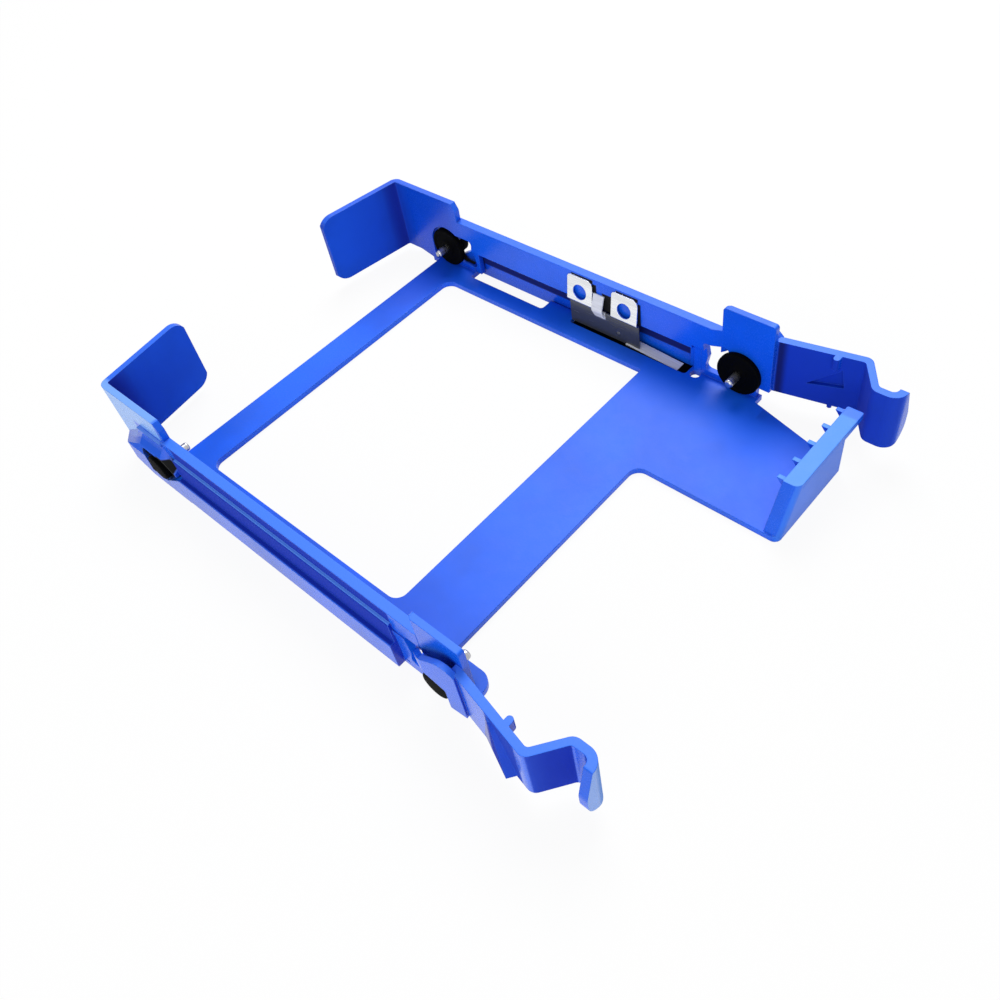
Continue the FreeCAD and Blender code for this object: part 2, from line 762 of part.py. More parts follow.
moulding = caddy_frame()
HOME = Vector(-moulding.BoundBox.Center.x, 0, 0)
save("caddy_frame", moulding)
for side, turn in (("far", False), ("near", True)):
    for end, shift in (("front", 0.0), ("rear", -HOLE_PITCH)):
        for name, shape in (("grommet", grommet()), ("pin", pin())):
            shape.translate(Vector(shift, 0, 0))
            if turn:
                shape = shape.mirror(Vector(0, 0, 0), Vector(0, 1, 0))
            save(name + "_" + side + "_" + end, shape)
save("ground_clip", ground_clip())
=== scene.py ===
"""Hard drive caddy: blue moulded tray, isolators, steel pins and spring clip, on a pale studio floor."""

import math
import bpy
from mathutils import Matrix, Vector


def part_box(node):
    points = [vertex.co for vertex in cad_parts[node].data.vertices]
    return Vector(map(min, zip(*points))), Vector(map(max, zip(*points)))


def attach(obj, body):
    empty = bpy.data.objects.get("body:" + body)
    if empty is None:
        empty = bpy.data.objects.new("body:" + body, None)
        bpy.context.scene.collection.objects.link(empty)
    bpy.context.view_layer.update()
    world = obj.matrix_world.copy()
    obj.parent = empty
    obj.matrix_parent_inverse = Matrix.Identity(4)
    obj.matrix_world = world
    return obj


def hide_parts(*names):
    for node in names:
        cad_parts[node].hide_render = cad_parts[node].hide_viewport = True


bl_info = {
    "name": "Hard Drive Caddy",
    "version": (1, 0, 0),
    "blender": (4, 5, 0),
    "location": "View3D > Sidebar > Caddy",
    "description": "Dresses the caddy's solids and sets the studio round them",
    "category": "Object",
}

from types import SimpleNamespace

import bmesh
import bpy
import numpy as np
from bpy.props import FloatProperty, FloatVectorProperty, IntProperty, PointerProperty
from mathutils import Matrix, Vector

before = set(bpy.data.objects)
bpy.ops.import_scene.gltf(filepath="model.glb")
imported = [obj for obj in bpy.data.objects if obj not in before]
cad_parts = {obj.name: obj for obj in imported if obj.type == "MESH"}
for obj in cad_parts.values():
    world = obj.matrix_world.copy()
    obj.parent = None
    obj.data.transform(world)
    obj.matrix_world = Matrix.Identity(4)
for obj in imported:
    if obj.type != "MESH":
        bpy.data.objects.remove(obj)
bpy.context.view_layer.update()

SIDES = {"far": 1.0, "near": -1.0}
ENDS = ("front", "rear")
FLANGE_LOW, FLANGE_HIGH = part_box("grommet_far_front")
PIN_LOW, PIN_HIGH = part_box("pin_far_front")

# Low and high corner of the small blocks, in metres. The gusset's is that of the far side.
GUSSET = ((0.02926, 0.0531, 0.0001), (0.03142, 0.0545, 0.0107))
# The second block is a black sheet of painted shadow that fills the slot below the clip.
SHADOW_SHEET = ((-0.0105, 0.0505, 0.0001), (0.0282, 0.0550, 0.0004))

# The clip's dimple: its middle, how far it stands out as a part of its radius, its rings and its spokes.
DIMPLE_MIDDLE = (0.00604, 0.05146, 0.0041)
DIMPLE_RISE = 0.45
DIMPLE_RINGS, DIMPLE_SPOKES = 9, 32

# The isolator's collar as a multiple of the shank, and its ring groove's outer slope as parts of the flange.
COLLAR = 1.9
RING = (0.82, 0.87)

# Roundings of the turned pieces: the lengths that they take, in metres, and how many points each one has.
ROUND_FINE, ROUND_SMALL, ROUND_SOFT, ROUND_FULL = 0.0001, 0.0002, 0.0003, 0.0005
ISOLATOR_STEPS, PIN_STEPS = 5, 7

# Distance in metres within which two points of a piece become one.
WELD = 1e-7

# Facing of a surface: the part of its normal along an axis at which a tone starts and at which it is full.
LEVEL = (0.75, 0.97)
OUTER = (0.5, 0.85)
INNER = (-0.5, -0.9)
FRONT = (0.3, 0.6)
UNDER_INNER = (-0.6, -0.9)
ARM_INNER = (0.2, -0.6)
WEDGE_BACK = (-0.26, -0.32)
BEND_OUTER = (0.2, 0.5)
TIP_OUTER = (0.4, 0.2)

# Strength of the recess mask at which a nose's mouth starts to be painted black and at which it is all black.
MOUTH_DEPTH = (0.05, 0.3)

# These tones are painted shade and painted light on the moulding.
# Places of the tones on the moulding, in metres. SPAN, FROM, TO and BEHIND are along x. ASIDE and STRIP
# are distances from the middle plane, and SIDE is along y. BAND, HEIGHT, TOP and ABOVE are heights.
# A SPAN, BAND or STRIP gives its two ends. Any other pair gives where the tone starts and where it is full.
GUIDE_SPAN = (-0.0494, 0.0292)
LEDGE_BAND, LEDGE_STRIP = (0.0145, 0.0153), (0.0543, 0.0556)
FLANK_BAND, FLANK_STRIP = (0.0083, 0.0184), (0.0540, 0.0563)
CAP_SPAN, CAP_ASIDE = (0.0288, 0.0296), (0.0520, 0.0526)
UNDER_STRIP, UNDER_HEIGHT = (0.0545, 0.0556), (0.0040, 0.0046)
NOSE_SPAN, NOSE_ASIDE, NOSE_HEIGHT = (-0.0725, -0.0494), (0.0549, 0.0553), (0.0075, 0.0090)
MOUTH_SPAN, MOUTH_ASIDE, MOUTH_TOP = (-0.0655, -0.0505), (0.0535, 0.0540), (0.0150, 0.0140)
JAW_SPAN, JAW_ASIDE, JAW_BAND = (-0.0562, -0.0497), (0.0547, 0.0550), (0.0095, 0.0140)
ARM_FROM, ARM_ASIDE = (0.0513, 0.0520), (0.0460, 0.0480)
ROOT_TO = (0.0545, 0.0525)
BEND_FROM = (0.0700, 0.0750)
REACH_FROM, REACH_TO = (0.0590, 0.0620), (0.0700, 0.0685)
TIP_FROM = (0.0775, 0.0785)
EAR_FROM, EAR_ASIDE = (-0.0700, -0.0735), (0.0530, 0.0518)
CORNER_ASIDE, CORNER_FROM = (0.0420, 0.0510), (-0.0690, -0.0765)
REAR_FROM, REAR_SIDE = (-0.0500, -0.0580), (0.0, 0.0450)
RISER_FROM, RISER_ASIDE = (-0.0535, -0.0545), (0.0553, 0.0549)
RISER_BEHIND, RISER_ABOVE = (-0.0668, -0.0676), (0.0172, 0.0186)
CREST_FROM, CREST_ASIDE = (-0.0540, -0.0550), (0.0505, 0.0520)
SHELTER_SIDE, SHELTER_TO = (0.0450, 0.0500), (0.0520, 0.0480)
NEAR_SIDE = (0.0, -0.01)
END_ASIDE = (0.0470, 0.0460)
LIP_FROM, LIP_HEIGHT = (0.0680, 0.0690), (0.0100, 0.0120)
WALL_FROM = (0.0700, 0.0720)
NOOK_STRIP, NOOK_BAND = (0.0530, 0.0575), (0.0125, 0.0225)
NOOK_FROM, NOOK_TO = (0.0365, 0.0375), (0.0490, 0.0420)

# Painted shadow round the clip's ears, on the rail: left, foot, right and top of each patch, and the
# stretch of y that the patches are on.
CLIP_SHADES = (
    (0.0008, 0.0090, 0.0046, 0.0152),
    (-0.0026, 0.0110, -0.0011, 0.0170),
    (0.0115, 0.0085, 0.0134, 0.0166),
    (-0.0095, 0.0165, -0.0022, 0.0181),
    (0.0055, 0.0165, 0.0126, 0.0181),
)
CLIP_SHADE_STRIP = (0.0515, 0.0522)

# Tones of the clip. The leg goes by facing and height, the tongue by distance from x = 0 and by height, and
# the painted dark reflection on the lower plate by height.
LEG_LEVEL, LEG_TOP = (0.6, 0.9), (0.0030, 0.0024)
TONGUE_ASIDE, TONGUE_FOOT = (0.0019, 0.0017), (0.0066, 0.0074)
DARK_REFLECTION_TOP = (0.0100, 0.0088)

# How strongly each tone shows, from 0 to 1. All but settled, dust on the rubber, are painted shade or painted
# light.
STRENGTH = {
    "bend_start": 0.7, "corner_side": 0.6, "corner_dark": 0.35, "ear": 0.35, "ear_rim": 0.2,
    "edge": 0.35, "inside": 0.85, "ledge": 0.3, "nook": 0.8, "nose": 0.15, "reach": 0.85, "rear": 0.5,
    "scale": 0.6, "settled": 0.5, "sheltered_rim": 0.35, "wall": 0.35, "painted_sheen": 0.7,
}

# Deeper versions of a colour, as parts of it. DARK_DEEP gives the deepest painted shade.
DRIFT_DEEP, DARK_DEEP, PIN_DULL, CLIP_DULL = 0.82, 0.3, 0.7, 0.84

# Grain: the scale of its wider noise as a part of the close one's, the shares of the close and the wider
# noise, its height in metres, and the parts of its range over which colour, polish and dust change.
GRAIN_WIDE, GRAIN_SHARES, GRAIN_HEIGHT = 0.12, (0.7, 0.3), 0.00004
TONE_RANGE, POLISH_RANGE, DUST_RANGE = (0.35, 0.65), (0.3, 0.7), (0.45, 0.7)

# Likeness of the rounded normal to the face's own at which an edge starts to show and at which it is full.
EDGE_TURN = (0.995, 0.80)

# Roughness of each finish, what the plastic's level faces add to it, and that of the plastic's matt places.
PLASTIC_ROUGH, RUBBER_ROUGH, PIN_ROUGH, CLIP_ROUGH = (0.22, 0.30), (0.6, 0.8), (0.2, 0.34), (0.16, 0.3)
LEVEL_ROUGH, MATT_ROUGH = 0.19, 0.9

# Half the side of the floor, and how far it lies below the tray, in metres.
FLOOR_HALF, FLOOR_DROP = 4.0, 1e-4


def colour_property(name, description, default):
    """Colour setting in linear values."""
    return FloatVectorProperty(
        name=name, description=description, subtype="COLOR", size=3, min=0.0, max=1.0, default=default
    )


def length_property(name, description, default):
    """Length setting in metres."""
    return FloatProperty(
        name=name, description=description, unit="LENGTH", precision=5, min=0.0, default=default
    )


def place_property(name, description, default):
    """Place setting in metres."""
    return FloatVectorProperty(
        name=name, description=description, subtype="XYZ", unit="LENGTH", default=default
    )


class CaddyFinish(bpy.types.PropertyGroup):
    """Colours and surface of the caddy's materials."""

    plastic: colour_property("Plastic", "Body colour of the moulding", (0.006, 0.135, 0.95))
    # Recess colour: painted shade, laid on corners, hollows and faces that lie in shade.
    recess: colour_property("Recess", "Deeper blue in the corners and hollows", (0.002, 0.030, 0.45))
    # Rim colour: painted highlight on the top rims and edges.
    rim: colour_property("Rim", "Paler blue of the top rims and edges", (0.045, 0.20, 0.98))
    # Pale colour: painted light on the ledge, the end lip, the end wall and the nooks.
    pale: colour_property("Pale", "Lighter blue of the ledge and the end lip", (0.075, 0.30, 1.0))
    # This colour is painted glare on the risers' outer faces, the ledge and the near tips and crest.
    painted_glare: colour_property("Glare", "Whiter blue of the risers' outer faces", (0.22, 0.45, 0.95))
    rubber: colour_property("Rubber", "Colour of the isolators", (0.0008, 0.0009, 0.0010))
    dust: colour_property("Dust", "Greyer tone on the isolators' edges", (0.003, 0.003, 0.0034))
    pin: colour_property("Pin steel", "Colour of the turned pins", (0.58, 0.58, 0.60))
    clip: colour_property("Clip steel", "Colour of the spring clip", (0.88, 0.90, 0.93))
    # This colour is a painted dark reflection on the clip's lower plate.
    scale: colour_property("Clip scale", "Darker steel on the lower plate of the clip", (0.075, 0.080, 0.090))
    edge: length_property("Edge round", "Radius that the moulded edges show", 0.0003)
    rubber_edge: length_property("Rubber edge", "Radius that the isolators' edges show", 0.0002)
    clip_edge: length_property("Clip edge", "Radius that the clip's edges show", 0.00012)
    # Heights over which the painted highlight on the top faces grows.
    rim_from: length_property("Rim from", "Height above which the top faces turn paler", 0.0125)
    rim_to: length_property("Rim to", "Height above which the top faces are palest", 0.0145)


class CaddyTurned(bpy.types.PropertyGroup):
    """Sizes of the turned pieces, taken from the solids where they show there."""

    flange: length_property(
        "Flange", "Radius of the isolator's inner flange", (FLANGE_HIGH.x - FLANGE_LOW.x) / 2
    )
    flange_thick: length_property("Flange thickness", "Thickness of the inner flange", 0.0016)
    neck: length_property("Neck", "Radius of the neck in the keyhole", 0.0026)
    button: length_property("Button", "Radius of the isolator's outer button", 0.0036)
    button_thick: length_property("Button thickness", "Thickness of the outer button", 0.0025)
    groove: length_property("Groove", "Depth of the ring groove in the flange", 0.00025)
    shank: length_property("Shank", "Radius of the pin", (PIN_HIGH.x - PIN_LOW.x) / 2)
    tip: length_property("Tip", "Rounding of the pin's tip", 0.0007)
    dimple: length_property("Dimple", "Radius of the locating dimple on the clip", 0.0007)
    spokes: IntProperty(name="Spokes", description="Divisions round a turned piece", min=16, default=96)


class CaddyStage(bpy.types.PropertyGroup):
    """Camera, floor and light."""

    eye: place_property("Eye", "Place of the camera", (0.131525, -0.100594, 0.173474))
    aim: place_property("Aim", "Point on the floor that the camera looks at", (0.015945, -0.008902, 0.0))
    roll: FloatProperty(
        name="Roll", description="Turn of the camera about its view", subtype="ANGLE",
        default=math.radians(-12.461),
    )
    lens: FloatProperty(name="Lens", description="Focal length", unit="CAMERA", default=33.691)
    key: FloatProperty(name="Key", description="Power of the main soft light", unit="POWER", default=4.9)
    key_place: place_property("Key place", "Place of the main soft light", (-0.22, 0.38, 0.64))
    key_size: length_property("Key size", "Side of the main soft light", 0.45)
    front: FloatProperty(
        name="Front", description="Power of the soft light before the tray", unit="POWER", default=2.6
    )
    front_place: place_property("Front place", "Place of the soft light before the tray", (0.32, -0.62, 0.32))
    front_size: length_property("Front size", "Side of the soft light before the tray", 0.6)
    fill: FloatProperty(
        name="Fill", description="Strength of the white surroundings on matt faces", default=0.35
    )
    white: FloatProperty(
        name="Floor white", description="Part of the seen floor that is plain white", subtype="FACTOR",
        default=0.93,
    )


def add(tree, kind, options=None, inputs=None):
    """Node of a kind with its options set and each input filled or linked."""
    made = tree.nodes.new(kind)
    for key, value in (options or {}).items():
        setattr(made, key, value)
    for key, value in (inputs or {}).items():
        socket = made.inputs[key]
        if isinstance(value, bpy.types.NodeSocket):
            tree.links.new(value, socket)
        else:
            socket.default_value = value
    return made


def maths(tree, operation, first, second, clamp=False):
    """Output of one sum of two values."""
    made = add(tree, "ShaderNodeMath", {"operation": operation, "use_clamp": clamp}, {0: first, 1: second})
    return made.outputs[0]


def ramp(tree, value, low, high, first=0.0, last=1.0):
    """Value carried smoothly from one range to another and held at the ends."""
    made = add(
        tree,
        "ShaderNodeMapRange",
        {"interpolation_type": "SMOOTHSTEP"},
        {"Value": value, "From Min": low, "From Max": high, "To Min": first, "To Max": last},
    )
    return made.outputs["Result"]


def between(tree, value, low, high, soft=0.0002):
    """Mask of the stretch of a value between two limits, soft at both ends."""
    return both(tree, ramp(tree, value, low - soft, low + soft), ramp(tree, value, high + soft, high - soft))


def both(tree, first, *others):
    """Share in which all the given masks hold: their product."""
    for other in others:
        first = maths(tree, "MULTIPLY", first, other)
    return first


def either(tree, first, *others):
    """Share in which at least one of the given masks holds: the largest of them."""
    for other in others:
        first = maths(tree, "MAXIMUM", first, other)
    return first


def held(tree, mask, tone):
    """Mask held to the strength of the named tone."""
    return maths(tree, "MULTIPLY", mask, STRENGTH[tone])


def eased(tree, mask, tone):
    """Weight that falls from 1 to the strength of the named tone where the mask is full."""
    return ramp(tree, mask, 0.0, 1.0, 1.0, STRENGTH[tone])


def mix(tree, share, first, second):
    """Colour between two colours."""
    made = add(tree, "ShaderNodeMix", {"data_type": "RGBA"}, {0: share, 6: first, 7: second})
    return made.outputs[2]


def split(tree, vector):
    """The three parts of a vector."""
    return add(tree, "ShaderNodeSeparateXYZ", None, {0: vector}).outputs


def colour(value, part=1.0):
    """Colour setting, or a deeper version of it, as a shader colour."""
    return (value[0] * part, value[1] * part, value[2] * part, 1.0)


def new_group(name, inputs, outputs):
    """Empty shader group with named sockets; inputs carry their start values."""
    group = bpy.data.node_groups.new(name, "ShaderNodeTree")
    for label, kind, start in inputs:
        socket = group.interface.new_socket(label, in_out="INPUT", socket_type=kind)
        if start is not None:
            socket.default_value = start
    for label, kind in outputs:
        group.interface.new_socket(label, in_out="OUTPUT", socket_type=kind)
    return group, add(group, "NodeGroupInput"), add(group, "NodeGroupOutput")


def edge_group():
    """Rounded normal near edges, and a mask that grows where it leaves the face's own normal."""
    group, start, end = new_group(
        "Rounded edges",
        [("Radius", "NodeSocketFloat", 0.0003)],
        [("Mask", "NodeSocketFloat"), ("Normal", "NodeSocketVector")],
    )
    round_off = add(group, "ShaderNodeBevel", {"samples": 6}, {"Radius": start.outputs["Radius"]})
    face = add(group, "ShaderNodeNewGeometry")
    likeness = add(
        group, "ShaderNodeVectorMath", {"operation": "DOT_PRODUCT"},
        {0: round_off.outputs[0], 1: face.outputs["Normal"]},
    )
    group.links.new(ramp(group, likeness.outputs["Value"], *EDGE_TURN), end.inputs["Mask"])
    group.links.new(round_off.outputs[0], end.inputs["Normal"])
    return group


def grain_group():
    """Fine grain: a close noise and a wider one added up, as a mask and as a bump on a given normal."""
    group, start, end = new_group(
        "Surface grain",
        [
            ("Scale", "NodeSocketFloat", 2500.0),
            ("Depth", "NodeSocketFloat", 0.1),
            ("Stretch", "NodeSocketVector", (1.0, 1.0, 1.0)),
            ("Normal", "NodeSocketVector", None),
        ],
        [("Mask", "NodeSocketFloat"), ("Normal", "NodeSocketVector")],
    )
    place = add(group, "ShaderNodeTexCoord")
    spread = add(
        group, "ShaderNodeVectorMath", {"operation": "MULTIPLY"},
        {0: place.outputs["Object"], 1: start.outputs["Stretch"]},
    )
    close = add(
        group, "ShaderNodeTexNoise", None,
        {"Vector": spread.outputs[0], "Scale": start.outputs["Scale"], "Detail": 3.0, "Roughness": 0.6},
    )
    wide_scale = maths(group, "MULTIPLY", start.outputs["Scale"], GRAIN_WIDE)
    wide = add(
        group, "ShaderNodeTexNoise", None,
        {"Vector": spread.outputs[0], "Scale": wide_scale, "Detail": 4.0},
    )
    height = maths(
        group, "ADD",
        maths(group, "MULTIPLY", close.outputs[0], GRAIN_SHARES[0]),
        maths(group, "MULTIPLY", wide.outputs[0], GRAIN_SHARES[1]),
    )
    bump = add(
        group, "ShaderNodeBump", None,
        {
            "Strength": start.outputs["Depth"], "Distance": GRAIN_HEIGHT,
            "Height": height, "Normal": start.outputs["Normal"],
        },
    )
    group.links.new(height, end.inputs["Mask"])
    group.links.new(bump.outputs[0], end.inputs["Normal"])
    return group


def recess_group():
    """Mask of corners and hollows: it grows as the part itself closes in on a point within a given reach."""
    group, start, end = new_group(
        "Recess",
        [
            ("Reach", "NodeSocketFloat", 0.006),
            ("Open", "NodeSocketFloat", 0.8),
            ("Closed", "NodeSocketFloat", 0.3),
        ],
        [("Mask", "NodeSocketFloat")],
    )
    around = add(
        group, "ShaderNodeAmbientOcclusion", {"samples": 8, "only_local": True},
        {"Distance": start.outputs["Reach"]},
    )
    mask = ramp(group, around.outputs["AO"], start.outputs["Open"], start.outputs["Closed"])
    group.links.new(mask, end.inputs["Mask"])
    return group


def new_material(name, shader):
    """Empty material with a Principled shader whose plain values are given."""
    made = bpy.data.materials.new(name)
    made.use_nodes = True
    tree = made.node_tree
    tree.nodes.clear()
    surface = add(tree, "ShaderNodeBsdfPrincipled", None, shader)
    end = add(tree, "ShaderNodeOutputMaterial")
    tree.links.new(surface.outputs[0], end.inputs["Surface"])
    return made, tree, surface


def placed(tree, name, make, inputs):
    """Shared group placed in a material with its own values; the first call for a group builds it."""
    group = bpy.data.node_groups.get(name) or make()
    return add(tree, "ShaderNodeGroup", {"node_tree": group}, inputs)


def rounded_edges(tree, radius):
    """Rounded edges of a given radius."""
    return placed(tree, "Rounded edges", edge_group, {"Radius": radius})


def surface_grain(tree, inputs):
    """Fine grain with the given values."""
    return placed(tree, "Surface grain", grain_group, inputs)


def whereabouts(tree):
    """Place and facing of a point of the moulding; aside and outward are alike on the near and far sides."""
    place = add(tree, "ShaderNodeTexCoord").outputs["Object"]
    normal = add(tree, "ShaderNodeNewGeometry").outputs["Normal"]
    x, y, z = split(tree, place)
    ahead, across, up = split(tree, normal)
    outward = maths(tree, "MULTIPLY", across, maths(tree, "SIGN", y, 0.0))
    return SimpleNamespace(
        place=place, x=x, y=y, z=z, ahead=ahead, outward=outward,
        aside=maths(tree, "ABSOLUTE", y, 0.0),
        level=ramp(tree, up, *LEVEL),
        outer=ramp(tree, outward, *OUTER),
        inner=ramp(tree, outward, *INNER),
        front=ramp(tree, ahead, *FRONT),
    )


def rail_tones(tree, at):
    """Masks along the rails: painted light on the ledge; painted shade on the flank, the guide's end and the
    inner face below its roof.
    """
    along = between(tree, at.x, *GUIDE_SPAN)
    ledge = both(
        tree, along, at.level, between(tree, at.z, *LEDGE_BAND), between(tree, at.aside, *LEDGE_STRIP)
    )
    flank = both(tree, along, between(tree, at.z, *FLANK_BAND), between(tree, at.aside, *FLANK_STRIP))
    return SimpleNamespace(
        ledge=ledge,
        flank=maths(tree, "SUBTRACT", flank, ledge, True),
        cap=both(tree, at.front, between(tree, at.x, *CAP_SPAN), ramp(tree, at.aside, *CAP_ASIDE)),
        under=both(
            tree, along, ramp(tree, at.outward, *UNDER_INNER),
            between(tree, at.aside, *UNDER_STRIP), ramp(tree, at.z, *UNDER_HEIGHT),
        ),
    )


def nose_tones(tree, at, hollow):
    """Masks of painted shade on the noses: the outer face, and the painted black of the mouth and of the jaw
    before it.
    """
    mouth = both(
        tree, between(tree, at.x, *MOUTH_SPAN), ramp(tree, at.aside, *MOUTH_ASIDE),
        ramp(tree, at.z, *MOUTH_TOP), ramp(tree, hollow, *MOUTH_DEPTH),
    )
    jaw = both(
        tree, between(tree, at.x, *JAW_SPAN), ramp(tree, at.aside, *JAW_ASIDE), between(tree, at.z, *JAW_BAND)
    )
    return SimpleNamespace(
        face=both(
            tree, at.outer, between(tree, at.x, *NOSE_SPAN),
            ramp(tree, at.z, *NOSE_HEIGHT), ramp(tree, at.aside, *NOSE_ASIDE),
        ),
        black=either(tree, mouth, jaw),
    )


def clip_shade(tree, at):
    """Mask of the painted shadow round the clip's ears, on the rail behind them."""
    patches = [
        both(tree, between(tree, at.x, left, right), between(tree, at.z, foot, top))
        for left, foot, right, top in CLIP_SHADES
    ]
    return both(tree, either(tree, *patches), between(tree, at.y, *CLIP_SHADE_STRIP), at.inner)


def arm_tones(tree, at):
    """Arm masks: painted shade on inner face, root, wedge, bend and outer face before the bend; painted light
    on near tip.
    """
    arms = both(tree, ramp(tree, at.x, *ARM_FROM), ramp(tree, at.aside, *ARM_ASIDE))
    inside = both(tree, arms, ramp(tree, at.outward, *ARM_INNER))
    return SimpleNamespace(
        inside=inside,
        root=both(tree, inside, ramp(tree, at.x, *ROOT_TO)),
        wedge=both(tree, arms, at.outer, ramp(tree, at.ahead, *WEDGE_BACK)),
        bend=both(
            tree, arms, at.front, ramp(tree, at.outward, *BEND_OUTER),
            ramp(tree, at.x, *BEND_FROM, STRENGTH["bend_start"], 1.0),
        ),
        reach=both(tree, arms, at.outer, ramp(tree, at.x, *REACH_FROM), ramp(tree, at.x, *REACH_TO)),
        tip=both(
            tree, arms, at.front, ramp(tree, at.x, *TIP_FROM),
            ramp(tree, at.outward, *TIP_OUTER), ramp(tree, at.y, *NEAR_SIDE),
        ),
    )


def rear_tones(tree, at):
    """Rear masks: ears; painted shade on their fronts, the corners beside them and far rear; painted light on
    risers and near crest.
    """
    ears = both(tree, ramp(tree, at.x, *EAR_FROM), ramp(tree, at.aside, *EAR_ASIDE))
    fronts = both(tree, ears, at.front)
    facing = either(tree, at.level, fronts, at.inner)
    return SimpleNamespace(
        ears=ears,
        fronts=fronts,
        corner=either(
            tree, both(tree, at.front, ramp(tree, at.x, *EAR_FROM), ramp(tree, at.aside, *CORNER_ASIDE)),
            both(tree, at.inner, ramp(tree, at.x, *CORNER_FROM, 0.0, STRENGTH["corner_side"])),
        ),
        distant=both(tree, facing, ramp(tree, at.x, *REAR_FROM), ramp(tree, at.y, *REAR_SIDE)),
        riser=both(
            tree, at.outer, ramp(tree, at.x, *RISER_FROM), ramp(tree, at.aside, *RISER_ASIDE),
            either(tree, ramp(tree, at.x, *RISER_BEHIND), ramp(tree, at.z, *RISER_ABOVE)),
        ),
        crest=both(
            tree, at.level, ramp(tree, at.x, *CREST_FROM),
            ramp(tree, at.aside, *CREST_ASIDE), ramp(tree, at.y, *NEAR_SIDE),
        ),
    )


def end_tones(tree, at, hollow):
    """Masks of painted light at the front end: lip and face of the end wall, and the nooks between blocks and
    skirts.
    """
    return SimpleNamespace(
        lip=both(
            tree, at.level, ramp(tree, at.z, *LIP_HEIGHT),
            ramp(tree, at.x, *LIP_FROM), ramp(tree, at.aside, *END_ASIDE),
        ),
        wall=both(tree, at.front, ramp(tree, at.x, *WALL_FROM), ramp(tree, at.aside, *END_ASIDE)),
        nook=both(
            tree, hollow, between(tree, at.aside, *NOOK_STRIP), between(tree, at.z, *NOOK_BAND),
            ramp(tree, at.x, *NOOK_FROM), ramp(tree, at.x, *NOOK_TO),
        ),
    )


def plastic_material(finish):
    """Blue moulded plastic: polished walls, duller level faces, drifting colour, painted shade in hollows,
    painted highlight on rims.
    """
    made, tree, surface = new_material("Blue moulded plastic", {"IOR": 1.5, "Specular IOR Level": 0.29})
    at = whereabouts(tree)
    edges = rounded_edges(tree, finish.edge)
    grain = surface_grain(tree, {"Scale": 2600.0, "Depth": 0.003, "Normal": edges.outputs["Normal"]})
    # This mask drives painted shade in corners and hollows.
    closed = placed(tree, "Recess", recess_group, {"Reach": 0.006, "Open": 0.8, "Closed": 0.3})
    hollow = closed.outputs["Mask"]
    drift = add(
        tree, "ShaderNodeTexNoise", None,
        {"Vector": at.place, "Scale": 38.0, "Detail": 3.0, "Roughness": 0.55},
    )
    rail = rail_tones(tree, at)
    nose = nose_tones(tree, at, hollow)
    arm = arm_tones(tree, at)
    rear = rear_tones(tree, at)
    end = end_tones(tree, at, hollow)

    # Painted black for the shade in the noses' mouths and jaws and round the clip's ears.
    black = either(tree, nose.black, clip_shade(tree, at))
    # Painted shade: dark is the deepest, shade the broader one over hollows, rails, arms, ears, corners, far
    # rear and noses.
    dark = either(tree, rail.under, arm.root, black, held(tree, rear.corner, "corner_dark"))
    shade = either(
        tree, hollow, rail.flank, rail.cap, rail.under, arm.wedge, arm.bend, rear.corner,
        held(tree, arm.reach, "reach"), held(tree, arm.inside, "inside"), held(tree, rear.fronts, "ear"),
        held(tree, rear.distant, "rear"), held(tree, nose.face, "nose"),
    )
    # Painted highlight on top faces above a height and on edges, weaker on the ears and where sheltered.
    sheltered = both(tree, ramp(tree, at.y, *SHELTER_SIDE), ramp(tree, at.x, *SHELTER_TO))
    rims = both(
        tree, at.level, ramp(tree, at.z, finish.rim_from, finish.rim_to),
        eased(tree, rear.ears, "ear_rim"), eased(tree, sheltered, "sheltered_rim"),
    )
    rims = either(tree, rims, held(tree, edges.outputs["Mask"], "edge"))
    # Painted light on the ledge, the end lip, the end wall and the nooks.
    painted_light_mask = either(tree, rail.ledge, end.lip, held(tree, end.wall, "wall"), held(tree, end.nook, "nook"))
    # Painted sheen on the near tips of the arms and on the near crest.
    painted_sheen = either(tree, arm.tip, rear.crest)
    # Painted glare on the risers' outer faces, the ledge and the near tips and crest.
    painted_glare_mask = either(tree, rear.riser, held(tree, rail.ledge, "ledge"), held(tree, painted_sheen, "painted_sheen"))

    tone = ramp(tree, drift.outputs[0], *TONE_RANGE)
    body = mix(tree, tone, colour(finish.plastic, DRIFT_DEEP), colour(finish.plastic))
    # Painted shade, then the deepest painted shade.
    body = mix(tree, shade, body, colour(finish.recess))
    body = mix(tree, dark, body, colour(finish.recess, DARK_DEEP))
    # Painted highlight on rims and edges.
    body = mix(tree, rims, body, colour(finish.rim))
    # Painted light in the pale colour.
    body = mix(tree, painted_light_mask, body, colour(finish.pale))
    # Painted glare in the whiter blue.
    body = mix(tree, painted_glare_mask, body, colour(finish.painted_glare))
    # The painted black takes the rubber's colour.
    body = mix(tree, black, body, colour(finish.rubber))
    tree.links.new(body, surface.inputs["Base Color"])

    polish = ramp(tree, grain.outputs["Mask"], *POLISH_RANGE, *PLASTIC_ROUGH)
    dulled = maths(tree, "MULTIPLY", either(tree, at.level, end.wall), LEVEL_ROUGH)
    rough = maths(tree, "ADD", polish, dulled)
    matt = either(
        tree, rail.flank, dark, nose.face, arm.bend, arm.inside, arm.reach, rear.corner, rear.fronts
    )
    rough = either(tree, rough, maths(tree, "MULTIPLY", matt, MATT_ROUGH))
    tree.links.new(rough, surface.inputs["Roughness"])
    tree.links.new(grain.outputs["Normal"], surface.inputs["Normal"])
    return made


